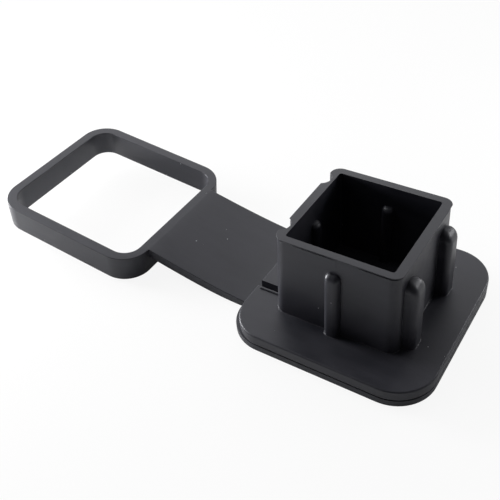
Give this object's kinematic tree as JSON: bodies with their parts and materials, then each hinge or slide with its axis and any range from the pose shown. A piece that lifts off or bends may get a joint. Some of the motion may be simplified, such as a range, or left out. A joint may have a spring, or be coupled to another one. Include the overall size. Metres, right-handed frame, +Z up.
{
  "type": "hitch receiver cover",
  "caption": "Moulded rubber cover for a square tow bar receiver tube: a hollow ribbed plug on a rounded face plate, joined by a flat strap to a pull ring.",
  "frame": {"origin": "middle of the face plate, on its show face", "axes": "+X from the pull ring towards the face plate, +Z up the plug from the show face, Y across the strap"},
  "size_m": [0.1899, 0.075, 0.0406],
  "materials": {
    "rubber": "matt moulded black rubber"
  },
  "bodies": {
    "root": {"receiver_cover": "rubber"}
  },
  "joints": []
}
